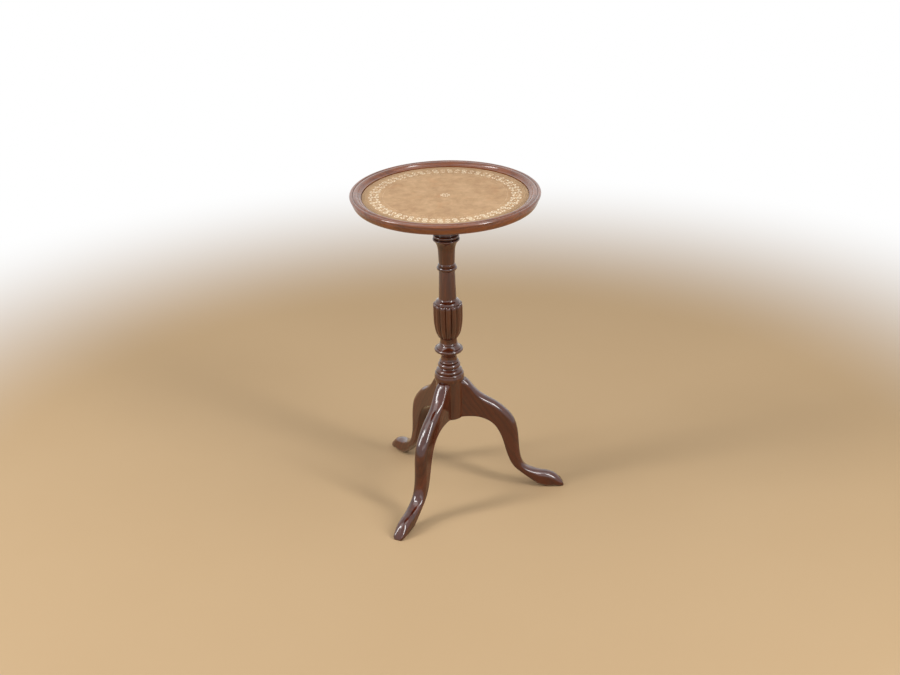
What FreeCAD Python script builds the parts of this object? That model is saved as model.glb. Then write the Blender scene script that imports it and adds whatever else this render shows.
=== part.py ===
import FreeCAD, Part
import math
import os

# A round wine table of polished mahogany: a dished top with a leather inset stands on one turned column,
# whose reeded vase and mouldings rise from a block that carries three cabriole legs in sliding dovetails.
# Millimetres, +Z up. The origin is on the floor, on the column's axis. The right leg points along +X.

Vector = FreeCAD.Vector

# Overall sizes
TABLE_HEIGHT = 540.0
TOP_RADIUS = 152.5
FOOT_REACH = 191.5
COLUMN_FOOT_HEIGHT = 141.5

# Clearances and cuts
GLUE_GAP = 0.1
LEATHER_GAP = 0.6
LEG_TOP_GAP = 0.3
OVERRUN = 5.0

# Dished top: leather on a flat panel, with a moulded rim lapped over the panel's edge
DISH_DEPTH = 6.4
LEATHER_THICKNESS = 1.2
LEATHER_EDGE_ROUND = 0.5
PANEL_THICKNESS = 9.0
RIM_BEAD_DIAMETER = 5.4
RIM_BEAD_DROP = 0.3
RIM_GROOVE_INSET = 2.8
RIM_GROOVE_SWELL = 0.5
RIM_CREST_WIDTH = 7.8
RIM_CREST_RISE = 1.5
RIM_COVE_WIDTH = 5.4
RIM_COVE_SWELL = 1.0
RIM_LIP_HEIGHT = 1.4
RIM_SKIRT_INSET = 3.5
RIM_SKIRT_SWELL = 1.1
REBATE_WIDTH = 5.6

# Boss that joins the top to the column, and its screws
BOSS_RADIUS = 55.0
BOSS_THICKNESS = 16.0
BOSS_EDGE_ROUND = 5.0
SCREW_PITCH_RADIUS = 40.0
SCREW_COUNT = 4
SCREW_LENGTH = 22.0
SCREW_SHANK_RADIUS = 2.1
SCREW_HEAD_RADIUS = 4.2
SCREW_HEAD_HEIGHT = 2.6
SCREW_POINT_LENGTH = 3.5
SCREW_SLOT_WIDTH = 1.0
SCREW_SLOT_DEPTH = 1.2

# Round spigot at the column's head, spread by a wedge in a saw kerf
SPIGOT_RADIUS = 12.5
SPIGOT_TOP_GAP = 0.5
WEDGE_LENGTH = 12.0
WEDGE_THICK_END = 3.0
WEDGE_THIN_END = 1.0

# Column, from its foot upwards. The vase, shaft, necking and cove share out a change of the table's height.
BLOCK_RADIUS = 22.5
BLOCK_HEIGHT = 67.5
BLOCK_CHAMFER = 1.5
COLLAR_RADIUS = 23.9
COLLAR_BAND_HEIGHT = 10.6
COLLAR_BAND_SWELL = 0.9
COLLAR_SHOULDER_RADIUS = 21.9
COLLAR_SHOULDER_HEIGHT = 4.0
COLLAR_SHOULDER_SWELL = 1.0
COLLAR_STEP_FOOT_RADIUS = 21.2
COLLAR_STEP_RADIUS = 18.8
COLLAR_STEP_HEIGHT = 6.2
COLLAR_STEP_SWELL = 1.7
COLLAR_COVE_HEIGHT = 2.2
COLLAR_COVE_SWELL = -0.4
LOWER_BEAD_ROOT_RADIUS = 15.9
LOWER_BEAD_HEIGHT = 8.5
LOWER_BEAD_SWELL = 2.8
UPPER_BEAD_ROOT_RADIUS = 13.9
UPPER_BEAD_HEIGHT = 4.6
UPPER_BEAD_SWELL = 2.1
RING_NECK_RADIUS = 13.2
RING_NECK_HEIGHT = 7.5
RING_NECK_SWELL = -0.3
RING_LIP_RADIUS = 22.5
RING_FLARE_HEIGHT = 9.4
RING_FLARE_SWELL = -0.8
RING_LIP_HEIGHT = 5.0
RING_LIP_SWELL = 1.2
RING_GROOVE_RADIUS = 20.0
RING_GROOVE_HEIGHT = 1.2
RING_SLOPE_HEIGHT = 5.2
RING_SLOPE_SWELL = -0.3
NECK_BEAD_ROOT_RADIUS = 14.3
NECK_BEAD_HEIGHT = 3.6
NECK_BEAD_SWELL = 0.9
VASE_NECK_RADIUS = 14.2
VASE_NECK_HEIGHT = 8.3
VASE_NECK_SWELL = -0.3
VASE_RADIUS = 24.5
VASE_HEIGHT = 61.6
VASE_CORE_RADIUS = 11.0
REED_COUNT = 14
VASE_FILLET_RADIUS = 21.2
VASE_FILLET_HEIGHT = 0.8
DOME_RADIUS = 20.6
DOME_HEIGHT = 8.4
SHAFT_FOOT_RADIUS = 14.6
SHAFT_HEAD_RADIUS = 13.1
SHAFT_HEIGHT = 49.4
ASTRAGAL_ROOT_RADIUS = 13.6
ASTRAGAL_HEIGHT = 8.0
ASTRAGAL_SWELL = 3.0
ASTRAGAL_FILLET_RADIUS = 14.6
ASTRAGAL_FILLET_HEIGHT = 1.8
NECKING_FOOT_RADIUS = 13.2
NECKING_FOOT_HEIGHT = 3.0
NECKING_FOOT_SWELL = -0.5
NECKING_HEAD_RADIUS = 14.1
NECKING_HEIGHT = 22.7
CAPITAL_CUP_RADIUS = 20.4
CAPITAL_CUP_HEIGHT = 16.7
CAPITAL_LIP_HEIGHT = 3.8
CAPITAL_LIP_SWELL = 1.9
CAPITAL_GROOVE_RADIUS = 18.9
CAPITAL_GROOVE_HEIGHT = 1.0
CAPITAL_RING_HEIGHT = 5.6
CAPITAL_RING_SWELL = 2.7
CAPITAL_FILLET_RADIUS = 17.4
CAPITAL_FILLET_HEIGHT = 1.8
CAPITAL_COVE_FOOT_RADIUS = 16.4
CAPITAL_COVE_HEAD_RADIUS = 25.6
CAPITAL_COVE_HEIGHT = 29.9
CAPITAL_COVE_SWELL = -3.4
ABACUS_RADIUS = 27.0
ABACUS_HEIGHT = 7.6

# Shapes of the curved stretches, as shares of the moulding that they belong to
REED_DEPTH_SHARE = 0.12
# each vase station: height up the vase, crest radius
VASE_SHARES = [
    (0.0, 0.6), (0.05, 0.7), (0.114, 0.775), (0.186, 0.847), (0.295, 0.915), (0.436, 0.966),
    (0.605, 0.995), (0.79, 1.0), (0.94, 0.995), (0.982, 0.975), (1.0, 0.93),
]
# each point: way in from the foot radius to the head radius, height up the stretch
DOME_SHARES = [
    (0.0, 0.0), (0.04, 0.2), (0.14, 0.38), (0.36, 0.52), (0.62, 0.62), (0.82, 0.73), (0.94, 0.87), (1.0, 1.0),
]
CUP_SHARES = [(0.0, 0.0), (0.12, 0.3), (0.3, 0.54), (0.62, 0.8), (1.0, 1.0)]

# Legs: three alike, a third of a turn apart
LEG_NAMES = ["leg_right", "leg_left", "leg_front"]
LEG_THICKNESS = 22.0
LEG_FLAT_MARGIN = 0.4
LEG_CREST_ROUND = 10.0
DOVETAIL_DEPTH = 11.0
DOVETAIL_NECK_WIDTH = 10.0
DOVETAIL_END_WIDTH = 14.0
DOVETAIL_STOP = 9.0
# each rib across the leg: underside point, crest point, thickness and rounding of the underside; outward
# places are shares of the way from the shoulder to the toe, underside heights of the column's foot height,
# crest heights of the leg's top, and the last two of the leg's thickness
RIB_SHARES = [
    ((0.0, 1.0), (0.0, 1.02), 1.0, 0.1),
    ((0.08, 1.003), (0.068, 0.987), 1.0, 0.1),
    ((0.152, 0.993), (0.14, 0.909), 1.0, 0.1),
    ((0.222, 0.963), (0.233, 0.84), 1.0, 0.1),
    ((0.286, 0.912), (0.338, 0.785), 1.0, 0.1),
    ((0.335, 0.841), (0.437, 0.712), 1.0, 0.1),
    ((0.372, 0.753), (0.507, 0.635), 1.0, 0.1),
    ((0.4, 0.65), (0.547, 0.517), 1.0, 0.1),
    ((0.426, 0.53), (0.56, 0.378), 1.0, 0.1),
    ((0.46, 0.401), (0.576, 0.278), 1.0, 0.12),
    ((0.507, 0.297), (0.618, 0.201), 1.0, 0.16),
    ((0.589, 0.195), (0.703, 0.158), 1.0, 0.24),
    ((0.691, 0.084), (0.787, 0.139), 1.0, 0.34),
    ((0.752, 0.03), (0.837, 0.131), 1.0, 0.4),
    ((0.805, 0.007), (0.878, 0.12), 0.99, 0.42),
    ((0.857, -0.0015), (0.916, 0.1035), 0.97, 0.42),
    ((0.914, -0.0015), (0.955, 0.072), 0.92, 0.36),
    ((0.957, -0.0015), (0.981, 0.044), 0.83, 0.26),
    ((0.983, -0.0015), (0.994, 0.024), 0.69, 0.16),
    ((0.995, -0.0015), (1.0, 0.0115), 0.5, 0.08),
]
ROUND_LIMIT_SHARE = 0.46

# Levels and radii that follow from the sizes above
RIM_HEIGHT = DISH_DEPTH + LEATHER_THICKNESS + PANEL_THICKNESS
TOP_UNDERSIDE = TABLE_HEIGHT - RIM_HEIGHT
PANEL_TOP = TOP_UNDERSIDE + PANEL_THICKNESS
LEATHER_TOP = PANEL_TOP + LEATHER_THICKNESS
BOSS_UNDERSIDE = TOP_UNDERSIDE - BOSS_THICKNESS
BLOCK_TOP = COLUMN_FOOT_HEIGHT + BLOCK_HEIGHT
LEG_TOP = BLOCK_TOP - LEG_TOP_GAP
DOVETAIL_TOP = LEG_TOP - DOVETAIL_STOP
RIM_BEAD_RADIUS = RIM_BEAD_DIAMETER / 2
RIM_BEAD_CENTRE = TOP_RADIUS - RIM_BEAD_RADIUS
RIM_GROOVE_RADIUS = RIM_BEAD_CENTRE - RIM_GROOVE_INSET
RIM_CREST_INNER_RADIUS = RIM_GROOVE_RADIUS - RIM_CREST_WIDTH
DISH_RADIUS = RIM_CREST_INNER_RADIUS - RIM_COVE_WIDTH
REBATE_RADIUS = DISH_RADIUS + REBATE_WIDTH
FLAT_DISTANCE = math.sqrt(BLOCK_RADIUS**2 - (LEG_THICKNESS / 2 + LEG_FLAT_MARGIN) ** 2)
FOOT_MOULDINGS_HEIGHT = (
    COLLAR_BAND_HEIGHT + COLLAR_SHOULDER_HEIGHT + COLLAR_STEP_HEIGHT + COLLAR_COVE_HEIGHT
    + LOWER_BEAD_HEIGHT + UPPER_BEAD_HEIGHT + RING_NECK_HEIGHT + RING_FLARE_HEIGHT + RING_LIP_HEIGHT
    + RING_GROOVE_HEIGHT + RING_SLOPE_HEIGHT + NECK_BEAD_HEIGHT + VASE_NECK_HEIGHT
)
HEAD_MOULDINGS_HEIGHT = (
    VASE_FILLET_HEIGHT + DOME_HEIGHT + ASTRAGAL_HEIGHT + ASTRAGAL_FILLET_HEIGHT + NECKING_FOOT_HEIGHT
    + CAPITAL_CUP_HEIGHT + CAPITAL_LIP_HEIGHT + CAPITAL_GROOVE_HEIGHT + CAPITAL_RING_HEIGHT
    + CAPITAL_FILLET_HEIGHT + ABACUS_HEIGHT
)
VASE_FOOT = BLOCK_TOP + FOOT_MOULDINGS_HEIGHT
LONG_STRETCHES_ROOM = BOSS_UNDERSIDE - VASE_FOOT - HEAD_MOULDINGS_HEIGHT
STRETCH = LONG_STRETCHES_ROOM / (VASE_HEIGHT + SHAFT_HEIGHT + NECKING_HEIGHT + CAPITAL_COVE_HEIGHT)
VASE_TOP = VASE_FOOT + VASE_HEIGHT * STRETCH

AXIS_POINT = Vector(0, 0, 0)
UP = Vector(0, 0, 1)


class Profile:
    """Half section of a turned piece, drawn move by move in the XZ plane and spun about the axis."""

    def __init__(self, radius, height):
        self.start = Vector(radius, 0, height)
        self.here = self.start
        self.edges = []

    def to(self, radius, rise=0.0, swell=0.0):
        """Go to a radius while rising; a swell bows the stretch, outwards when it is drawn upwards."""
        end = Vector(radius, 0, self.here.z + rise)
        if swell:
            chord = end - self.here
            outward = Vector(chord.z, 0, -chord.x).normalize()
            middle = (self.here + end) / 2 + outward * swell
            self.edges.append(Part.Arc(self.here, middle, end).toShape())
        else:
            self.edges.append(Part.makeLine(self.here, end))
        self.here = end
        return self

    def curve(self, radius, rise, shares):
        """Go to a radius while rising, along a smooth line through shares of the way and of the rise."""
        foot = self.here
        points = [
            Vector(foot.x + (radius - foot.x) * way, 0, foot.z + rise * height) for way, height in shares
        ]
        spline = Part.BSplineCurve()
        spline.interpolate(points)
        self.edges.append(spline.toShape())
        self.here = points[-1]
        return self

    def spin(self):
        closing = Part.makeLine(self.here, self.start)
        section = Part.Face(Part.Wire(self.edges + [closing]))
        return section.revolve(AXIS_POINT, UP, 360)


def polar(radius, angle, height):
    return Vector(radius * math.cos(angle), radius * math.sin(angle), height)


def tube_cut(radius, bottom, top):
    """A round cutter on the axis, from one level to another."""
    return Part.makeCylinder(radius, top - bottom, Vector(0, 0, bottom), UP)


def prism(points, lift):
    """A closed outline of points, pushed along a vector."""
    outline = Part.makePolygon(points + points[:1])
    return Part.Face(outline).extrude(lift)


def turned(shape, turn):
    """A copy of a shape, turned about the column's axis by an angle in degrees."""
    copy = shape.copy()
    copy.rotate(AXIS_POINT, UP, turn)
    return copy


def leg_turns():
    return [360 * index / len(LEG_NAMES) for index in range(len(LEG_NAMES))]


def make_top_rim():
    """Moulded ring: skirt, outer bead, rounded crest and a cove down to the leather, rebated below."""
    bead_foot = TABLE_HEIGHT - RIM_BEAD_DROP - RIM_BEAD_DIAMETER
    crest_foot = TABLE_HEIGHT - RIM_CREST_RISE
    lip_top = LEATHER_TOP + RIM_LIP_HEIGHT
    rim = Profile(REBATE_RADIUS, TOP_UNDERSIDE)
    rim.to(RIM_BEAD_CENTRE - RIM_SKIRT_INSET)
    rim.to(RIM_BEAD_CENTRE, bead_foot - TOP_UNDERSIDE, RIM_SKIRT_SWELL)
    rim.to(RIM_BEAD_CENTRE, RIM_BEAD_DIAMETER, RIM_BEAD_RADIUS)
    rim.to(RIM_GROOVE_RADIUS, crest_foot - bead_foot - RIM_BEAD_DIAMETER, RIM_GROOVE_SWELL)
    rim.to(RIM_CREST_INNER_RADIUS, 0, RIM_CREST_RISE)
    rim.to(DISH_RADIUS, lip_top - crest_foot, -RIM_COVE_SWELL)
    rim.to(DISH_RADIUS, PANEL_TOP - lip_top)
    rim.to(REBATE_RADIUS)
    return rim.spin()


def screw_places():
    """Where the boss screws stand, midway between the grain's long and cross directions."""
    quarter = 2 * math.pi / SCREW_COUNT
    return [polar(SCREW_PITCH_RADIUS, quarter * (index + 1 / 2), 0) for index in range(SCREW_COUNT)]


def screw_body(gap):
    """A countersunk screw driven upwards from the boss's underside, swelled by a gap for its hole."""
    shank = SCREW_SHANK_RADIUS + gap
    body = Profile(0, BOSS_UNDERSIDE)
    body.to(SCREW_HEAD_RADIUS + gap)
    body.to(shank, SCREW_HEAD_HEIGHT)
    body.to(shank, SCREW_LENGTH - SCREW_HEAD_HEIGHT - SCREW_POINT_LENGTH)
    body.to(0, SCREW_POINT_LENGTH + gap)
    return body.spin()


def screw_holes():
    holes = []
    for place in screw_places():
        hole = screw_body(GLUE_GAP)
        hole.translate(place)
        holes.append(hole)
    return holes


def make_boss_screws():
    slot = Part.makeBox(
        2 * SCREW_HEAD_RADIUS + OVERRUN, SCREW_SLOT_WIDTH, SCREW_SLOT_DEPTH + OVERRUN,
        Vector(-SCREW_HEAD_RADIUS - OVERRUN / 2, -SCREW_SLOT_WIDTH / 2, BOSS_UNDERSIDE - OVERRUN),
    )
    screw = screw_body(0).cut(slot)
    screws = []
    for place in screw_places():
        copy = screw.copy()
        copy.translate(place)
        screws.append(copy)
    return Part.makeCompound(screws)


def make_top_panel():
    """Flat disc that closes the rim's rebate and takes the screws from below."""
    panel = tube_cut(REBATE_RADIUS - GLUE_GAP, TOP_UNDERSIDE, PANEL_TOP)
    return panel.cut(screw_holes())


def make_leather_inset():
    leather = Profile(0, PANEL_TOP)
    leather.to(DISH_RADIUS - LEATHER_GAP)
    leather.to(DISH_RADIUS - LEATHER_GAP, LEATHER_THICKNESS - LEATHER_EDGE_ROUND)
    leather.to(
        DISH_RADIUS - LEATHER_GAP - LEATHER_EDGE_ROUND, LEATHER_EDGE_ROUND,
        LEATHER_EDGE_ROUND * (1 - math.sqrt(1 / 2)),
    )
    leather.to(0)
    return leather.spin()


def make_top_boss():
    """Turned disc under the top, bored for the spigot and drilled for the screws."""
    boss = Profile(SPIGOT_RADIUS + GLUE_GAP, BOSS_UNDERSIDE)
    boss.to(BOSS_RADIUS - BOSS_EDGE_ROUND)
    boss.to(BOSS_RADIUS, BOSS_EDGE_ROUND, BOSS_EDGE_ROUND * (1 - math.sqrt(1 / 2)))
    boss.to(BOSS_RADIUS, BOSS_THICKNESS - BOSS_EDGE_ROUND)
    boss.to(SPIGOT_RADIUS + GLUE_GAP)
    return boss.spin().cut(screw_holes())


def wedge_prism(gap):
    """The spigot wedge, thick end up, long enough to cross the spigot; a gap swells it for its kerf."""
    thick = WEDGE_THICK_END / 2 + gap
    thin = WEDGE_THIN_END / 2 + gap
    top = TOP_UNDERSIDE - SPIGOT_TOP_GAP
    reach = SPIGOT_RADIUS + OVERRUN
    outline = [
        Vector(-reach, -thin, top - WEDGE_LENGTH - gap), Vector(-reach, thin, top - WEDGE_LENGTH - gap),
        Vector(-reach, thick, top), Vector(-reach, -thick, top),
    ]
    return prism(outline, Vector(2 * reach, 0, 0))


def make_spigot_wedge():
    return wedge_prism(0).common(tube_cut(SPIGOT_RADIUS, BOSS_UNDERSIDE, TOP_UNDERSIDE))


def column_foot():
    """Turned length below the vase: leg block, collar, twin beads and ring, with a core up the vase."""
    foot = Profile(0, COLUMN_FOOT_HEIGHT)
    foot.to(BLOCK_RADIUS - BLOCK_CHAMFER)
    foot.to(BLOCK_RADIUS, BLOCK_CHAMFER)
    foot.to(BLOCK_RADIUS, BLOCK_HEIGHT - BLOCK_CHAMFER)
    foot.to(COLLAR_RADIUS)
    foot.to(COLLAR_RADIUS, COLLAR_BAND_HEIGHT, COLLAR_BAND_SWELL)
    foot.to(COLLAR_SHOULDER_RADIUS, COLLAR_SHOULDER_HEIGHT, COLLAR_SHOULDER_SWELL)
    foot.to(COLLAR_STEP_FOOT_RADIUS)
    foot.to(COLLAR_STEP_RADIUS, COLLAR_STEP_HEIGHT, COLLAR_STEP_SWELL)
    foot.to(LOWER_BEAD_ROOT_RADIUS, COLLAR_COVE_HEIGHT, COLLAR_COVE_SWELL)
    foot.to(LOWER_BEAD_ROOT_RADIUS, LOWER_BEAD_HEIGHT, LOWER_BEAD_SWELL)
    foot.to(UPPER_BEAD_ROOT_RADIUS)
    foot.to(UPPER_BEAD_ROOT_RADIUS, UPPER_BEAD_HEIGHT, UPPER_BEAD_SWELL)
    foot.to(RING_NECK_RADIUS, RING_NECK_HEIGHT, RING_NECK_SWELL)
    foot.to(RING_LIP_RADIUS, RING_FLARE_HEIGHT, RING_FLARE_SWELL)
    foot.to(RING_LIP_RADIUS, RING_LIP_HEIGHT, RING_LIP_SWELL)
    foot.to(RING_GROOVE_RADIUS)
    foot.to(RING_GROOVE_RADIUS, RING_GROOVE_HEIGHT)
    foot.to(NECK_BEAD_ROOT_RADIUS, RING_SLOPE_HEIGHT, RING_SLOPE_SWELL)
    foot.to(NECK_BEAD_ROOT_RADIUS, NECK_BEAD_HEIGHT, NECK_BEAD_SWELL)
    foot.to(VASE_NECK_RADIUS, VASE_NECK_HEIGHT, VASE_NECK_SWELL)
    foot.to(VASE_CORE_RADIUS)
    foot.to(VASE_CORE_RADIUS, VASE_TOP - VASE_FOOT)
    foot.to(0)
    return foot.spin()


def reed_ring(crest_radius, height):
    """One level of the vase: a ring of rounded reeds that meet in sharp grooves, one reed to the front."""
    groove_radius = crest_radius * (1 - REED_DEPTH_SHARE)
    half_step = math.pi / REED_COUNT
    reeds = []
    for index in range(REED_COUNT):
        facing = 2 * half_step * index - math.pi / 2
        start = polar(groove_radius, facing - half_step, height)
        crest = polar(crest_radius, facing, height)
        end = polar(groove_radius, facing + half_step, height)
        reeds.append(Part.Arc(start, crest, end).toShape())
    return Part.Wire(reeds)


def reeded_vase():
    """Reeds lofted up the vase, closing to a narrow foot below and rounding over under the dome."""
    rise = VASE_TOP - VASE_FOOT
    rings = [reed_ring(VASE_RADIUS * radius, VASE_FOOT + rise * height) for height, radius in VASE_SHARES]
    return Part.makeLoft(rings, True, False)


def column_head():
    """Turned length above the vase: dome, tapered shaft, astragal, cup, rings, capital and spigot."""
    head = Profile(0, VASE_TOP)
    head.to(VASE_FILLET_RADIUS)
    head.to(VASE_FILLET_RADIUS, VASE_FILLET_HEIGHT)
    head.to(DOME_RADIUS)
    head.curve(SHAFT_FOOT_RADIUS, DOME_HEIGHT, DOME_SHARES)
    head.to(SHAFT_HEAD_RADIUS, SHAFT_HEIGHT * STRETCH)
    head.to(ASTRAGAL_ROOT_RADIUS)
    head.to(ASTRAGAL_ROOT_RADIUS, ASTRAGAL_HEIGHT, ASTRAGAL_SWELL)
    head.to(ASTRAGAL_FILLET_RADIUS)
    head.to(ASTRAGAL_FILLET_RADIUS, ASTRAGAL_FILLET_HEIGHT)
    head.to(NECKING_FOOT_RADIUS, NECKING_FOOT_HEIGHT, NECKING_FOOT_SWELL)
    head.to(NECKING_HEAD_RADIUS, NECKING_HEIGHT * STRETCH)
    head.curve(CAPITAL_CUP_RADIUS, CAPITAL_CUP_HEIGHT, CUP_SHARES)
    head.to(CAPITAL_CUP_RADIUS, CAPITAL_LIP_HEIGHT, CAPITAL_LIP_SWELL)
    head.to(CAPITAL_GROOVE_RADIUS)
    head.to(CAPITAL_GROOVE_RADIUS, CAPITAL_GROOVE_HEIGHT)
    head.to(CAPITAL_GROOVE_RADIUS, CAPITAL_RING_HEIGHT, CAPITAL_RING_SWELL)
    head.to(CAPITAL_FILLET_RADIUS)
    head.to(CAPITAL_FILLET_RADIUS, CAPITAL_FILLET_HEIGHT)
    head.to(CAPITAL_COVE_FOOT_RADIUS)
    head.to(CAPITAL_COVE_HEAD_RADIUS, CAPITAL_COVE_HEIGHT * STRETCH, CAPITAL_COVE_SWELL)
    head.to(ABACUS_RADIUS)
    head.to(ABACUS_RADIUS, ABACUS_HEIGHT)
    head.to(SPIGOT_RADIUS)
    head.to(SPIGOT_RADIUS, BOSS_THICKNESS - SPIGOT_TOP_GAP)
    head.to(0)
    return head.spin()


def dovetail(gap):
    """A leg's dovetail tongue, wider at its inner end; a gap swells it for its socket."""
    neck = DOVETAIL_NECK_WIDTH / 2 + gap
    end = DOVETAIL_END_WIDTH / 2 + gap
    inner = FLAT_DISTANCE - DOVETAIL_DEPTH - gap
    foot = COLUMN_FOOT_HEIGHT - (OVERRUN if gap else 0)
    outline = [
        Vector(FLAT_DISTANCE, -neck, foot), Vector(FLAT_DISTANCE, neck, foot),
        Vector(inner, end, foot), Vector(inner, -end, foot),
    ]
    return prism(outline, Vector(0, 0, DOVETAIL_TOP + gap - foot))


def leg_seat():
    """What one leg takes out of the block: a flat for its shoulder and a socket open at the foot."""
    flat = Part.makeBox(
        BLOCK_RADIUS, 2 * BLOCK_RADIUS, BLOCK_HEIGHT + OVERRUN,
        Vector(FLAT_DISTANCE, -BLOCK_RADIUS, COLUMN_FOOT_HEIGHT - OVERRUN),
    )
    return [flat, dovetail(GLUE_GAP)]


def make_column():
    column = column_foot().fuse([reeded_vase(), column_head()])
    seats = []
    for turn in leg_turns():
        for cutter in leg_seat():
            seats.append(turned(cutter, turn))
    return column.cut(seats + [wedge_prism(GLUE_GAP)]).removeSplitter()


def leg_point(outward_share, height):
    return Vector(FLAT_DISTANCE + (FOOT_REACH - FLAT_DISTANCE) * outward_share, 0, height)


def leg_rib(under, crest, width, under_round):
    """A closed section between two points of the leg's edges, rounded above and below."""
    depth = (crest - under).Length
    along = (crest - under) / depth
    half = width / 2
    limit = min(width, depth) * ROUND_LIMIT_SHARE
    upper = min(LEG_CREST_ROUND, limit)
    lower = min(under_round, limit)
    bend = 1 - math.sqrt(1 / 2)

    def at(across, up):
        return under + Vector(0, across, 0) + along * up

    right_foot = at(half - lower, 0)
    right_low = at(half, lower)
    right_high = at(half, depth - upper)
    right_top = at(half - upper, depth)
    left_top = at(upper - half, depth)
    left_high = at(-half, depth - upper)
    left_low = at(-half, lower)
    left_foot = at(lower - half, 0)
    return Part.Wire([
        Part.makeLine(left_foot, right_foot),
        Part.Arc(right_foot, at(half - lower * bend, lower * bend), right_low).toShape(),
        Part.makeLine(right_low, right_high),
        Part.Arc(right_high, at(half - upper * bend, depth - upper * bend), right_top).toShape(),
        Part.makeLine(right_top, left_top),
        Part.Arc(left_top, at(upper * bend - half, depth - upper * bend), left_high).toShape(),
        Part.makeLine(left_high, left_low),
        Part.Arc(left_low, at(lower * bend - half, lower * bend), left_foot).toShape(),
    ])


def make_leg():
    """A cabriole leg along +X: ribs lofted from shoulder to toe, a flat sole and top, and its dovetail."""
    ribs = []
    for (under_out, under_up), (crest_out, crest_up), thickness, rounding in RIB_SHARES:
        under = leg_point(under_out, COLUMN_FOOT_HEIGHT * under_up)
        crest = leg_point(crest_out, LEG_TOP * crest_up)
        ribs.append(leg_rib(under, crest, LEG_THICKNESS * thickness, LEG_THICKNESS * rounding))
    limb = Part.makeLoft(ribs, True, False)
    trim = Part.makeBox(
        FOOT_REACH + OVERRUN, 2 * LEG_THICKNESS, LEG_TOP, Vector(0, -LEG_THICKNESS, 0)
    )
    return limb.common(trim).fuse(dovetail(0)).removeSplitter()


def main():
    leg = make_leg()
    pieces = {
        "top_rim": make_top_rim(),
        "top_panel": make_top_panel(),
        "leather_inset": make_leather_inset(),
        "top_boss": make_top_boss(),
        "boss_screws": make_boss_screws(),
        "column": make_column(),
        "spigot_wedge": make_spigot_wedge(),
    }
    for name, turn in zip(LEG_NAMES, leg_turns()):
        pieces[name] = turned(leg, turn)
    os.makedirs("parts", exist_ok=True)
    for name, shape in pieces.items():
        shape.exportStep(os.path.join("parts", name + ".step"))
        box = shape.optimalBoundingBox()
        print(
            f"{name}: {len(shape.Solids)} solid(s), valid {shape.isValid()}, volume {shape.Volume:.0f}, "
            f"x {box.XMin:.1f} to {box.XMax:.1f}, y {box.YMin:.1f} to {box.YMax:.1f}, "
            f"z {box.ZMin:.1f} to {box.ZMax:.1f}"
        )
    print(f"long stretches of the column drawn out to {STRETCH:.4f} of their lengths")


main()
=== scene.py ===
# %% [markdown]
# A small round wine table of polished mahogany, with a tan leather lining and a gilt tooled border. The
# turned and sawn wood comes ready from the solid model, at its real size. What is left for Blender is what
# a polisher and a bookbinder would add: the figure and polish of the wood, the lining, and the gilding on
# it.

# %% Load the frame
import bpy
import math
from mathutils import Matrix, Vector


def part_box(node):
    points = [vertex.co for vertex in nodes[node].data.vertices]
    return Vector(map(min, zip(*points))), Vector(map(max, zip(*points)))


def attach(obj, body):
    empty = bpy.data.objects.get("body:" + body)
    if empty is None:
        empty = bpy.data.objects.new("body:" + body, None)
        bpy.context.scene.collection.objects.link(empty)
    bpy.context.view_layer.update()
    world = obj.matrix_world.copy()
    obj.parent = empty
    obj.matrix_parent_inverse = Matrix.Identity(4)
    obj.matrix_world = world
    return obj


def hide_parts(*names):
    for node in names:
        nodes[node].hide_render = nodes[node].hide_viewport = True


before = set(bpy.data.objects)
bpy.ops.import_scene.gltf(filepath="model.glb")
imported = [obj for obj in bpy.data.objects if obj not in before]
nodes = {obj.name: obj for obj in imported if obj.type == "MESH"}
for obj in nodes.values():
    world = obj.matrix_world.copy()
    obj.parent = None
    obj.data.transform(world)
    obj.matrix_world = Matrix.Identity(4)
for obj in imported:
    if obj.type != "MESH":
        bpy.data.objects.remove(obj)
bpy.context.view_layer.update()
print("nodes:", sorted(nodes))

# %% [markdown]
# The camera comes first, because every look at the table goes through it. Its place, lens, tilt and
# slight lean were worked out from the round rim, the upright column and the three toes. A tilt about X,
# then a turn about Z, is how a tripod head moves; the lean is a small roll about the line of sight, put on
# before both.

# %% Camera
VIEW_PLACE = Vector((-0.0746, -2.6618, 1.5161))
VIEW_TURN = math.radians(-1.658)
VIEW_TILT = math.radians(90 - 24.827)
VIEW_LEAN = math.radians(-1.332)
VIEW_REACH = 60.0
LENS_MM = 71.244
FILM_WIDTH_MM = 36.0

bpy.ops.object.select_all(action="DESELECT")
bpy.ops.object.camera_add()
camera = bpy.context.object
camera.name = "camera"
camera.data.sensor_width = FILM_WIDTH_MM
camera.data.lens = LENS_MM
camera.data.clip_end = VIEW_REACH
camera.matrix_world = (
    Matrix.Translation(VIEW_PLACE)
    @ Matrix.Rotation(VIEW_TURN, 4, "Z")
    @ Matrix.Rotation(VIEW_TILT, 4, "X")
    @ Matrix.Rotation(VIEW_LEAN, 4, "Z")
)
bpy.context.scene.camera = camera
print("camera at", tuple(round(x, 3) for x in camera.location), "lens", camera.data.lens)

# %% [markdown]
# Every finish here is procedural: it is worked out from a place in space, so it needs no picture and no
# seams. Such sums read best as sums. The class below wraps a socket, and adding or multiplying two of them
# adds the Math node; its one method for other nodes takes the node's type, its settings and what goes into
# its sockets.


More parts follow.
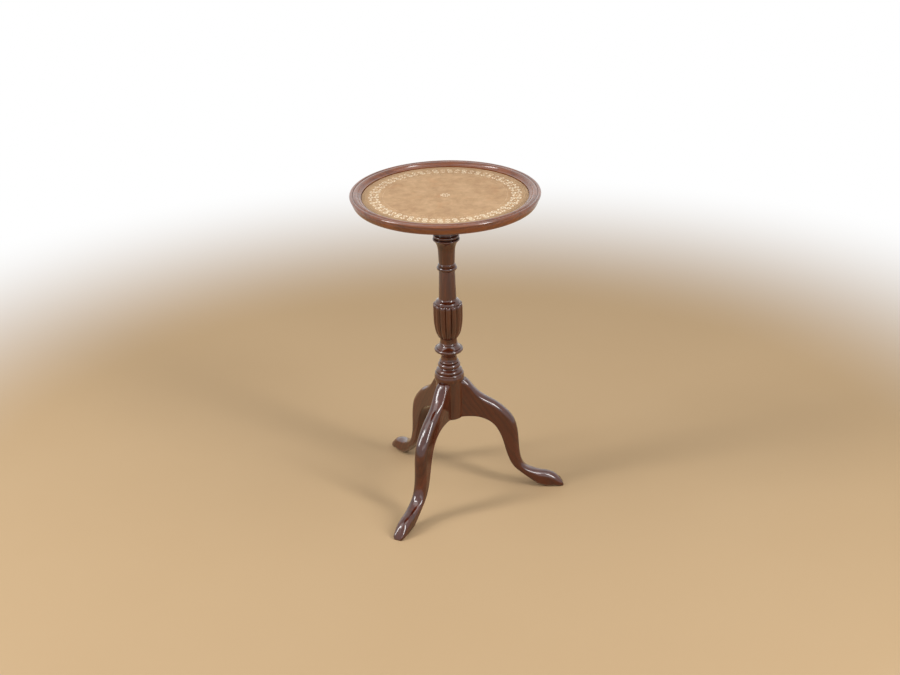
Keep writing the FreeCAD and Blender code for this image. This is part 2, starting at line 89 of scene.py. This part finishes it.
# %% Sums of sockets
class Flow:
    """A value on its way through a material's nodes."""

    def __init__(self, tree, socket=None):
        self.tree = tree
        self.socket = socket

    def node(self, kind, settings=None, inputs=None, output=0):
        """Add any node: first its settings, then the values or links of its sockets; follow one output."""
        made = self.tree.nodes.new(kind)
        for key, value in (settings or {}).items():
            setattr(made, key, value)
        for key, value in (inputs or {}).items():
            if isinstance(value, Flow):
                self.tree.links.new(value.socket, made.inputs[key])
            else:
                made.inputs[key].default_value = value
        return Flow(self.tree, made.outputs[output] if made.outputs else None)

    def math(self, operation, *values):
        return self.node("ShaderNodeMath", {"operation": operation}, dict(enumerate(values)))

    def __add__(self, other):
        return self.math("ADD", self, other)

    def __sub__(self, other):
        return self.math("SUBTRACT", self, other)

    def __rsub__(self, other):
        return self.math("SUBTRACT", other, self)

    def __mul__(self, other):
        return self.math("MULTIPLY", self, other)

    __radd__ = __add__
    __rmul__ = __mul__


print("sums of sockets ready")

# %% [markdown]
# A few helpers save typing the same nodes again: noise, a soft step from 0 to 1, a mix of two colours, and
# the two ends of every material. Colours are written as the eye names them, from 0 to 255, and turned into
# the linear values that a shader works in.


# %% Helpers for finishes
def new_finish(name):
    material = bpy.data.materials.new(name)
    material.use_nodes = True
    material.node_tree.nodes.clear()
    return material, Flow(material.node_tree)


def close(start, shader):
    start.node("ShaderNodeOutputMaterial", None, {"Surface": shader})


def place_on(start):
    return start.node("ShaderNodeTexCoord", output="Object")


def noise(place, scale, detail=3.0, roughness=0.5, distortion=0.0):
    inputs = {
        "Vector": place, "Scale": scale, "Detail": detail, "Roughness": roughness, "Distortion": distortion,
    }
    return place.node("ShaderNodeTexNoise", None, inputs)


def band(value, low, high):
    """0 below low, 1 above high, with a soft step between."""
    inputs = {"Value": value, "From Min": low, "From Max": high}
    return value.node("ShaderNodeMapRange", {"interpolation_type": "SMOOTHSTEP"}, inputs)


def tint(share, first, second):
    """Mix of two colours, the second by the given share."""
    return share.node("ShaderNodeMix", {"data_type": "RGBA"}, {0: share, 6: first, 7: second}, output=2)


def linear(level):
    """The sRGB curve, undone for one channel."""
    return ((level / 255 + 0.055) / 1.055) ** 2.4 if level > 10 else level / 255 / 12.92


def rgb(red, green, blue):
    return (linear(red), linear(green), linear(blue), 1.0)


print("helpers for finishes ready")

# %% [markdown]
# Mahogany is a red-brown wood with long, lazy figure, faint growth lines and pores that show as short dark
# dashes along the grain. A solid texture suits turned work: the grain runs through the wood, and the
# turning cuts across it as the gouge did. The Mapping node is set as a texture frame, so its Rotation lays
# the grain along any line, and its long Z scale draws everything out along that line. The hollows get
# painted shade, a darkening towards near black, and a duller polish; the edges wear thin. Ambient occlusion
# finds both, looking out of the wood for hollows and into it for edges. Gloss is how much polish there is,
# haze how soft its reflections are, and the last setting how far the painted shade reaches out of the
# hollows.

# %% Polished mahogany
UPRIGHT = (0, 0, 0)
USUAL_PITH = (0.03, 0.05, 0.0)
GRAIN_STRETCH = 14
FIGURE_SCALE = 48.0
STREAK_SCALE = 210.0
PORE_SCALE = 1500.0
WEAR_SCALE = 90.0
SMEAR_SCALE = 30.0
GROWTH_LINES = {"Scale": 42.0, "Distortion": 5.0, "Detail": 2.0, "Detail Scale": 1.2}
HOLLOW_REACH = 0.006
EDGE_REACH = 0.003
PORE_DEPTH = 0.0002
PORE_COLOUR = (0.008, 0.003, 0.002, 1)
# Painted shade: the near-black colour that the hollows of the wood are darkened towards.
HOLLOW_SHADE_COLOUR = (0.006, 0.003, 0.002, 1)
POLISH_IOR = 1.6


def openness(start, reach, inside):
    """1 where rays run a whole reach, outside or inside the wood, and less where they meet its surface."""
    settings = {"samples": 8, "only_local": True, "inside": inside}
    return start.node("ShaderNodeAmbientOcclusion", settings, {"Distance": reach}, output="AO")


def mahogany(name, tones, lean=UPRIGHT, pith=USUAL_PITH, gloss=1.0, haze=0.08, shade_spread=0.0):
    deep, warm, light = tones
    material, start = new_finish(name)
    place = place_on(start)
    frame_of_grain = {"Vector": place, "Location": pith, "Rotation": lean, "Scale": (1, 1, GRAIN_STRETCH)}
    grain = start.node("ShaderNodeMapping", {"vector_type": "TEXTURE"}, frame_of_grain)
    figure = noise(grain, FIGURE_SCALE, 4.0, 0.55, 0.6)
    streaks = noise(grain, STREAK_SCALE, 3.0, 0.6)
    rings = {"wave_type": "RINGS", "rings_direction": "Z"}
    growth = start.node("ShaderNodeTexWave", rings, {"Vector": grain, **GROWTH_LINES}, output=1)
    pores = band(noise(grain, PORE_SCALE, 2.0, 0.5), 0.6, 0.72)
    # Painted shade: this mask marks the hollows, found by ambient occlusion, which are darkened below and
    # given a duller polish.
    shaded_hollows = 1 - band(openness(start, HOLLOW_REACH, inside=False), 0.2 + shade_spread, 0.65 + shade_spread)
    edges = 1 - band(openness(start, EDGE_REACH, inside=True), 0.45, 0.9)
    worn = edges * band(noise(place, WEAR_SCALE), 0.35, 0.65)
    body = tint(band(figure, 0.3, 0.7), deep, warm)
    body = tint(band(streaks, 0.5, 0.8) * 0.45 + growth * 0.18, body, light)
    body = tint(pores * 0.55, body, PORE_COLOUR)
    body = tint(worn * 0.35, body, light)
    # Painted shade in the hollows.
    body = tint(shaded_hollows * 0.6, body, HOLLOW_SHADE_COLOUR)
    smears = noise(place, SMEAR_SCALE, 4.0, 0.6)
    relief = start.node(
        "ShaderNodeBump", None,
        {"Strength": 0.12, "Distance": PORE_DEPTH, "Height": 1 - pores + streaks * 0.3},
    )
    shader = start.node(
        "ShaderNodeBsdfPrincipled", None,
        {
            "Base Color": body,
            "Roughness": 0.3 + band(smears, 0.4, 0.75) * 0.12 + pores * 0.15 + shaded_hollows * 0.2,
            "Specular IOR Level": 0.1,
            "Coat Weight": gloss * (1 - shaded_hollows * 0.6) * (1 - band(smears, 0.55, 0.8) * 0.25),
            "Coat Roughness": haze,
            "Coat IOR": POLISH_IOR,
            "Normal": relief,
        },
    )
    close(start, shader)
    return material


print("recipe for mahogany ready")

# %% [markdown]
# The column is one turning, with its grain upright, and takes the full polish. The small wedge that spreads
# its spigot is out of sight: a paler sliver, sawn and left almost bare. A node from the solid model keeps
# its mesh and only changes its material.


# %% Column and wedge
def dress(node, material):
    nodes[node].data.materials.clear()
    nodes[node].data.materials.append(material)
    print(node, "finished as", material.name)


COLUMN_TONES = rgb(58, 19, 4), rgb(82, 33, 9), rgb(112, 55, 19)
WEDGE_TONES = rgb(92, 58, 36), rgb(120, 78, 48), rgb(150, 102, 66)
dress("column", mahogany("column_mahogany", COLUMN_TONES))
dress("spigot_wedge", mahogany("wedge_mahogany", WEDGE_TONES, gloss=0.1))

# %% [markdown]
# Each leg was sawn from a plank with the grain running down its length, from the shoulder to the toe, so
# that the thin ankle doesn't snap. The three legs share one recipe, with the grain leaned outward and
# turned to each leg, and each is cut from its own stretch of the plank.

# %% Legs
LEG_TONES = rgb(55, 15, 2), rgb(79, 25, 4), rgb(107, 45, 11)
LEG_GRAIN_LEAN = math.radians(148)
LEG_TURNS = {"leg_right": 0, "leg_left": 120, "leg_front": 240}
LEG_PITH = (0.04, 0.02)
PLANK_PER_DEGREE = 0.1
for node, turn in LEG_TURNS.items():
    along = (0, LEG_GRAIN_LEAN, math.radians(turn))
    pith = (*LEG_PITH, PLANK_PER_DEGREE * turn)
    dress(node, mahogany(node + "_mahogany", LEG_TONES, lean=along, pith=pith))

# %% [markdown]
# The top is turned from boards whose grain lies flat and runs across it from left to right. The rim has
# taken the most polish and handling, and is the warmest wood. The panel and boss under it were only stained
# and rubbed, and the boss lies with its grain across the panel's, so that neither can warp alone.

# %% Top
ACROSS = (0, math.radians(90), 0)
FRONT_TO_BACK = (0, math.radians(90), math.radians(90))
RIM_TONES = rgb(93, 42, 12), rgb(124, 61, 20), rgb(154, 88, 39)
UNDER_TONES = rgb(66, 34, 20), rgb(92, 52, 31), rgb(120, 74, 46)
UNDER_GLOSS = 0.25
RIM_PITH = (0, 0.02, 0.44)
PANEL_PITH = (0, 0.01, 0.40)
# On the rim the painted shade reaches further out of the hollows, and darkens the line where the rim meets
# the lining.
rim_wood = mahogany("rim_mahogany", RIM_TONES, lean=ACROSS, pith=RIM_PITH, haze=0.14, shade_spread=0.25)
panel_wood = mahogany("panel_mahogany", UNDER_TONES, lean=ACROSS, pith=PANEL_PITH, gloss=UNDER_GLOSS)
boss_wood = mahogany("boss_mahogany", UNDER_TONES, lean=FRONT_TO_BACK, gloss=UNDER_GLOSS)
dress("top_rim", rim_wood)
dress("top_panel", panel_wood)
dress("top_boss", boss_wood)

# %% [markdown]
# The four screws under the boss are plain steel, dulled and browned by age. The browning gathers in
# patches, so one noise mask turns the metal into rust: in colour, in how metallic it is and in roughness.

# %% Screws
RUST_SCALE = 600.0
screw_steel, start = new_finish("aged_screw_steel")
rust = band(noise(place_on(start), RUST_SCALE, 4.0, 0.6), 0.45, 0.65)
shader = start.node(
    "ShaderNodeBsdfPrincipled", None,
    {
        "Base Color": tint(rust, rgb(142, 138, 132), rgb(96, 62, 42)),
        "Metallic": 1 - rust * 0.8,
        "Roughness": 0.32 + rust * 0.4,
    },
)
close(start, shader)
dress("boss_screws", screw_steel)

# %% [markdown]
# The lining is one round of tan hide, pared thin and glued inside the rim, with its edge rolled down. The
# solid model only holds its place, so it is made again here: a disc is extruded to the hide's thickness,
# and its top is inset again and again. Where the tool pressed a line into the hide, three insets make a
# small groove after the one at its edge: one sunk, one along its floor and one back up.

# %% Leather lining
low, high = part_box("leather_inset")
HIDE_RADIUS = high.x
HIDE_THICKNESS = high.z - low.z
HIDE_EDGE = 0.0005
HIDE_SIDES = 144
EDGE_ROLL = ((0.3, 0.7), (0.7, 0.3))
LINE_WIDTH = 0.0011
LINE_DEPTH = 0.00022
LINE_SLOPE = 0.35
LINE_RADII = (0.1300, 0.1242)
PLAIN_RADII = (0.085, 0.06, 0.035, 0.012)
SMOOTH_BELOW = math.radians(40)

bpy.ops.object.select_all(action="DESELECT")
bpy.ops.mesh.primitive_circle_add(
    vertices=HIDE_SIDES, radius=HIDE_RADIUS, fill_type="NGON", location=(0, 0, low.z)
)
lining = bpy.context.object
lining.name = "leather_lining"
bpy.ops.object.transform_apply(location=True, rotation=False, scale=False)
bpy.ops.object.mode_set(mode="EDIT")
bpy.ops.mesh.select_all(action="SELECT")
bpy.ops.mesh.extrude_region_move(TRANSFORM_OT_translate={"value": (0, 0, HIDE_THICKNESS - HIDE_EDGE)})
for inward, upward in EDGE_ROLL:
    bpy.ops.mesh.inset(thickness=HIDE_EDGE * inward, depth=HIDE_EDGE * upward)


def inset_to(radius_now, radius, sink=0.0):
    bpy.ops.mesh.inset(thickness=radius_now - radius, depth=-sink)
    return radius


reach = HIDE_RADIUS - HIDE_EDGE
for line in LINE_RADII:
    reach = inset_to(reach, line)
    reach = inset_to(reach, line - LINE_WIDTH * LINE_SLOPE, LINE_DEPTH)
    reach = inset_to(reach, line - LINE_WIDTH * (1 - LINE_SLOPE))
    reach = inset_to(reach, line - LINE_WIDTH, -LINE_DEPTH)
for ring in PLAIN_RADII:
    reach = inset_to(reach, ring)
bpy.ops.mesh.select_all(action="SELECT")
bpy.ops.mesh.normals_make_consistent(inside=False)
bpy.ops.object.mode_set(mode="OBJECT")
bpy.ops.object.shade_smooth_by_angle(angle=SMOOTH_BELOW)
lining_top = max(vertex.co.z for vertex in lining.data.vertices)
print("lining:", len(lining.data.polygons), "faces, top at", round(lining_top, 5))

# %% [markdown]
# Tanned hide is never one colour. Broad clouds of paler and darker tan show where the dye sank in
# differently, with a redder blush here and there. Fine pebbling breaks up the shine, and dark specks and
# rubs come with use. Close to the rim the margin is a little greyer. A Voronoi's cell borders make the
# pebbles, and noise makes the rest.

# %% Leather finish
CLOUD_SCALE = 46.0
BLUSH_SCALE = 34.0
SPECK_SCALE = 420.0
PEBBLE_SCALE = 1100.0
PRESSED_SCALE = 60.0
PEBBLE_DEPTH = 0.0002
MARGIN_FROM = 0.118
MARGIN_TO = 0.131

tan_hide, start = new_finish("tan_hide")
place = place_on(start)
clouds = noise(place, CLOUD_SCALE, 6.0, 0.72, 0.15)
blush = noise(place, BLUSH_SCALE, 3.0, 0.55)
specks = noise(place, SPECK_SCALE, 3.0, 0.7)
pressed = noise(place, PRESSED_SCALE, 3.0)
from_axis = start.node("ShaderNodeVectorMath", {"operation": "MULTIPLY"}, {0: place, 1: (1, 1, 0)})
radius = start.node("ShaderNodeVectorMath", {"operation": "LENGTH"}, {0: from_axis}, output="Value")
pebbles = start.node(
    "ShaderNodeTexVoronoi", {"feature": "DISTANCE_TO_EDGE"}, {"Vector": place, "Scale": PEBBLE_SCALE},
    output="Distance",
)
hide = tint(band(clouds, 0.25, 0.75), rgb(188, 150, 114), rgb(218, 182, 142))
hide = tint(band(blush, 0.55, 0.75) * 0.35, hide, rgb(211, 162, 123))
hide = tint(band(radius, MARGIN_FROM, MARGIN_TO) * 0.6, hide, rgb(172, 143, 112))
hide = tint(band(specks, 0.62, 0.78) * 0.35, hide, rgb(128, 92, 64))
relief = start.node(
    "ShaderNodeBump", None,
    {"Strength": 0.35, "Distance": PEBBLE_DEPTH, "Height": band(pebbles, 0.0, 0.25) + pressed * 1.5},
)
shader = start.node(
    "ShaderNodeBsdfPrincipled", None,
    {
        "Base Color": hide,
        "Roughness": 0.6 + band(blush, 0.4, 0.7) * 0.14 - band(specks, 0.6, 0.8) * 0.06,
        "Specular IOR Level": 0.05,
        "Normal": relief,
    },
)
close(start, shader)
lining.data.materials.append(tan_hide)
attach(lining, "root")
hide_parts("leather_inset")
print("lining finished as", tan_hide.name)

# %% [markdown]
# The gilding is gold leaf, pressed into the hide with warm brass tools. A finisher builds a scroll from
# gouges, which are short brass arcs, each of a smaller radius than the last. Spin does the same: the edge
# across a ribbon is swept round a centre, and swept on from there round the next centre, a little nearer.
# Leaves and dots are small discs, drawn to a point where they need one.

# %% Strokes, leaves and dots
DEGREES_PER_STEP = 20
PETAL_SIDES = 12


def stroke(place, outward, width, arcs):
    """A ribbon swept to the left from a place: each arc is a radius and a turn in degrees."""
    bpy.ops.object.select_all(action="DESELECT")
    bpy.ops.mesh.primitive_plane_add(size=width)
    piece = bpy.context.object
    heading = math.radians(outward)
    left = Vector((-math.sin(heading), math.cos(heading), 0))
    here = Vector((*place, 0))
    bpy.ops.object.mode_set(mode="EDIT")
    bpy.ops.mesh.select_all(action="SELECT")
    bpy.ops.mesh.merge(type="CENTER")
    bpy.ops.transform.translate(value=here - left * (width / 2))
    bpy.ops.mesh.extrude_vertices_move(TRANSFORM_OT_translate={"value": left * width})
    bpy.ops.mesh.select_all(action="SELECT")
    for bend, turn in arcs:
        centre = here + left * bend
        angle = math.radians(turn)
        steps = round(turn / DEGREES_PER_STEP)
        bpy.ops.mesh.spin(steps=steps, angle=-angle, center=centre, axis=(0, 0, 1), use_auto_merge=False)
        turned = Matrix.Rotation(angle, 3, "Z")
        here = centre + turned @ (here - centre)
        left = turned @ left
    bpy.ops.object.mode_set(mode="OBJECT")
    return piece


def dot(place, radius, sides=10):
    bpy.ops.object.select_all(action="DESELECT")
    bpy.ops.mesh.primitive_circle_add(vertices=sides, radius=radius, fill_type="NGON", location=(*place, 0))
    bpy.ops.object.transform_apply(location=True, rotation=False, scale=False)
    return bpy.context.object


def petal(place, length, width, outward):
    """A disc with its far point drawn out, laid from a place in a direction."""
    bpy.ops.object.select_all(action="DESELECT")
    bpy.ops.mesh.primitive_circle_add(vertices=PETAL_SIDES, radius=width / 2, fill_type="NGON")
    piece = bpy.context.object
    far_end = max(vertex.co.y for vertex in piece.data.vertices)
    for vertex in piece.data.vertices:
        vertex.select = vertex.co.y == far_end
    bpy.ops.object.mode_set(mode="EDIT")
    bpy.ops.transform.translate(value=(0, length - width, 0))
    bpy.ops.mesh.select_all(action="SELECT")
    bpy.ops.transform.translate(value=(0, width / 2, 0))
    bpy.ops.object.mode_set(mode="OBJECT")
    piece.data.transform(Matrix.Rotation(math.radians(outward - 90), 4, "Z"))
    piece.data.transform(Matrix.Translation((*place, 0)))
    return piece


print("strokes, leaves and dots ready")

# %% [markdown]
# A pattern is drawn once, flat, and copied round the axis, each copy with its own mesh. Everything stays
# flat until the whole ring is joined; then it is lifted onto the hide and extruded to the thickness of the
# leaf.

# %% Rings and leaf
GILT_LEVEL = high.z
GILT_THICKNESS = 0.00014
MERGE_REACH = 0.00001


def join(pieces, name):
    bpy.ops.object.select_all(action="DESELECT")
    for piece in pieces:
        piece.select_set(True)
    bpy.context.view_layer.objects.active = pieces[0]
    bpy.ops.object.join()
    pieces[0].name = name
    return pieces[0]


def ring_of(pattern, count, name, first=0.0):
    """Copies of a flat pattern, each with its own mesh, set round the axis and joined."""
    copies = []
    for index in range(count):
        copy = pattern.copy()
        copy.data = pattern.data.copy()
        bpy.context.collection.objects.link(copy)
        copy.data.transform(Matrix.Rotation(2 * math.pi * (index + first) / count, 4, "Z"))
        copies.append(copy)
    bpy.data.objects.remove(pattern)
    return join(copies, name)


def lay(piece):
    """Lift a flat pattern onto the hide, face it upwards and give it the thickness of the leaf."""
    bpy.ops.object.select_all(action="DESELECT")
    piece.select_set(True)
    bpy.context.view_layer.objects.active = piece
    bpy.ops.object.mode_set(mode="EDIT")
    bpy.ops.mesh.select_all(action="SELECT")
    bpy.ops.mesh.remove_doubles(threshold=MERGE_REACH)
    bpy.ops.transform.translate(value=(0, 0, GILT_LEVEL))
    bpy.ops.mesh.normals_make_consistent(inside=False)
    bpy.ops.mesh.extrude_region_move(TRANSFORM_OT_translate={"value": (0, 0, GILT_THICKNESS)})
    bpy.ops.mesh.select_all(action="SELECT")
    bpy.ops.mesh.normals_make_consistent(inside=False)
    bpy.ops.object.mode_set(mode="OBJECT")
    print(piece.name, "has", len(piece.data.polygons), "faces")
    return piece


print("tools for gilding ready")

# %% [markdown]
# The border is a running scroll. One repeat is an S of two volutes, with a dot beside each, and half a step
# on from it a sprig of six leaves; thirty repeats go round. It is drawn lying along X at the border's
# middle radius, then copied round the axis.

# %% Gilt border
BORDER_RADIUS = 0.1137
REPEATS = 30
RIBBON = 0.0016
VOLUTES = [(0.0042, 95), (0.0036, 110), (0.0028, 120), (0.0019, 110)]
SCROLL_HEADING = 112
DOT_OUT = 0.0040
DOT_ALONG = 0.0030
DOT_RADIUS = 0.0011
SPRIG_EYE = 0.0013
STEM = 0.0014
LEAF_WIDTH = 0.0030
LEAVES = ((0, 0.0064), (42, 0.0054), (-42, 0.0054))

scrolls = [
    stroke((BORDER_RADIUS, 0), SCROLL_HEADING, RIBBON, VOLUTES),
    stroke((BORDER_RADIUS, 0), SCROLL_HEADING + 180, RIBBON, VOLUTES),
    dot((BORDER_RADIUS - DOT_OUT, DOT_ALONG), DOT_RADIUS),
    dot((BORDER_RADIUS + DOT_OUT, -DOT_ALONG), DOT_RADIUS),
]
half_step = math.pi / REPEATS
outwards = Vector((math.cos(half_step), math.sin(half_step)))
sprig = outwards * BORDER_RADIUS
leaves = [dot(sprig, SPRIG_EYE)]
for side in (0, 180):
    stem_end = sprig + outwards * math.cos(math.radians(side)) * STEM
    for splay, length in LEAVES:
        leaves.append(petal(stem_end, length, LEAF_WIDTH, math.degrees(half_step) + side + splay))
repeat = join([*scrolls, *leaves], "border_repeat")
border = lay(ring_of(repeat, REPEATS, "gilt_border"))

# %% [markdown]
# Inside the border runs a fine row of pearls, and a small rosette marks the middle of the hide: eight
# petals round an eye, with a stud in each gap between them.

# %% Pearls and rosette
PEARL_COUNT = 150
PEARL_RING = 0.0992
PEARL_RADIUS = 0.0004
PETAL_COUNT = 8
PETAL_START = 0.0018
PETAL_LENGTH = 0.0048
PETAL_WIDTH = 0.0026
EYE_RADIUS = 0.0017
STUD_RING = 0.0074
STUD_RADIUS = 0.0009

pearls = lay(ring_of(dot((PEARL_RING, 0), PEARL_RADIUS, sides=6), PEARL_COUNT, "gilt_pearls"))
flower = ring_of(petal((PETAL_START, 0), PETAL_LENGTH, PETAL_WIDTH, 0), PETAL_COUNT, "rosette_petals")
eye = dot((0, 0), EYE_RADIUS)
studs = ring_of(dot((STUD_RING, 0), STUD_RADIUS, sides=8), PETAL_COUNT, "rosette_studs", first=0.5)
rosette = lay(join([flower, eye, studs], "gilt_rosette"))

# %% [markdown]
# Gold leaf on an old hide is pale, rubbed and broken. Where it has worn through, the tan shows: the metal
# turns back into a dull brown skin there, by one noise mask on colour, metal and roughness alike. The far
# side is rubbed more than the near one, so the mask rises a little with Y.

# %% Gilt finish
RUB_SCALE = 380.0
FAR_SIDE_RUB = 0.6
gold_leaf, start = new_finish("rubbed_gold_leaf")
place = place_on(start)
depth = start.node("ShaderNodeSeparateXYZ", None, {0: place}, output="Y")
rubbed = band(noise(place, RUB_SCALE, 4.0, 0.65) + depth * FAR_SIDE_RUB, 0.49, 0.61) * 0.85
shader = start.node(
    "ShaderNodeBsdfPrincipled", None,
    {
        "Base Color": tint(rubbed, rgb(252, 236, 204), rgb(204, 168, 126)),
        "Metallic": 0.3 - rubbed * 0.25,
        "Roughness": 0.38 + rubbed * 0.2,
    },
)
close(start, shader)
for piece in (border, pearls, rosette):
    piece.data.materials.clear()
    piece.data.materials.append(gold_leaf)
    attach(piece, "root")
print("gilding finished as", gold_leaf.name)

# %% [markdown]
# The stage is a plain pale floor, wide enough for every view, against a white world. The world is white to
# the camera and in what the polish mirrors, but as a lamp it is dim, so that it doesn't wash out the
# shadows. Away from the table the floor passes into that white, for the same rays.

# %% Floor and world
FLOOR_RADIUS = 9.0
FLOOR_SIDES = 96
MOTTLE_SCALE = 3.0
WHITE_FROM = 0.8
WHITE_AT = 1.6
WORLD_LAMP = 0.1


def seen_rays(start):
    """1 for a ray from the camera, off a mirroring surface or through a clear one, and 0 for any other."""
    kinds = ("Is Camera Ray", "Is Glossy Ray", "Is Transmission Ray")
    camera_ray, mirror_ray, clear_ray = [start.node("ShaderNodeLightPath", output=kind) for kind in kinds]
    return camera_ray + mirror_ray + clear_ray


bpy.ops.object.select_all(action="DESELECT")
bpy.ops.mesh.primitive_circle_add(
    vertices=FLOOR_SIDES, radius=FLOOR_RADIUS, fill_type="NGON", location=(0, 0, 0)
)
floor = bpy.context.object
floor.name = "floor"
pale_floor, start = new_finish("pale_floor")
place = place_on(start)
mottle = noise(place, MOTTLE_SCALE, 3.0)
near_floor = start.node(
    "ShaderNodeBsdfPrincipled", None,
    {"Base Color": tint(mottle, rgb(202, 170, 128), rgb(206, 175, 134)), "Roughness": 0.75},
)
from_table = start.node("ShaderNodeVectorMath", {"operation": "LENGTH"}, {0: place}, output="Value")
white = start.node("ShaderNodeEmission", None, {"Strength": 1.0})
far_and_seen = band(from_table, WHITE_FROM, WHITE_AT) * seen_rays(start)
shader = start.node("ShaderNodeMixShader", None, {0: far_and_seen, 1: near_floor, 2: white})
close(start, shader)
floor.data.materials.append(pale_floor)

world = bpy.data.worlds.new("soft_white")
bpy.context.scene.world = world
world.use_nodes = True
world.node_tree.nodes.clear()
sky = Flow(world.node_tree)
strength = WORLD_LAMP + seen_rays(sky) * (1 - WORLD_LAMP)
glow = sky.node("ShaderNodeBackground", None, {"Color": (1, 1, 1, 1), "Strength": strength})
sky.node("ShaderNodeOutputWorld", None, {"Surface": glow})
print("floor and world ready")

# %% [markdown]
# The light is that of a bright day indoors. Polish shows the shape of every lamp, so the two main ones are
# tall and narrow like windows, one on each side: they give the paired highlights that run down the legs as
# bright lines. Two dimmer panels higher up grey every shoulder that slopes upwards. A wide dim screen
# behind the table lights the far edges, and a low strip behind the camera lights the rings of the column.
# Each lamp is placed by its turn to the left of the front and its height, both in degrees, and its
# distance, and aims at the middle of the column.

# %% Lights
AIM = Vector((0, 0, 0.35))
LAMPS = {
    # turn, height, distance, width, length, watts
    "left_window": (74, 30, 2.8, 0.52, 1.9, 46.0),
    "right_window": (-47, 30, 2.8, 0.48, 1.9, 44.0),
    "left_panel": (71, 63, 2.85, 1.8, 1.6, 15.0),
    "right_panel": (-65, 63, 2.85, 1.6, 1.6, 13.0),
    "back_screen": (176, 24, 3.2, 6.5, 2.6, 7.0),
    "front_strip": (-8, 15, 4.2, 4.4, 1.0, 18.0),
}
for name, (turn, height, distance, width, length, watts) in LAMPS.items():
    turn, height = math.radians(turn), math.radians(height)
    level = math.cos(height)
    towards = Vector((-math.sin(turn) * level, -math.cos(turn) * level, math.sin(height)))
    bpy.ops.object.select_all(action="DESELECT")
    bpy.ops.object.light_add(type="AREA", location=AIM + towards * distance)
    lamp = bpy.context.object
    lamp.name = name
    lamp.data.shape = "RECTANGLE"
    lamp.data.size = width
    lamp.data.size_y = length
    lamp.data.energy = watts
    lamp.rotation_euler = towards.to_track_quat("Z", "Y").to_euler()
print("lights:", list(LAMPS))

# %% [markdown]
# Last comes the plain view transform, so that a colour shows as it is written.

# %% Colour handling and the end
bpy.context.scene.view_settings.view_transform = "Standard"
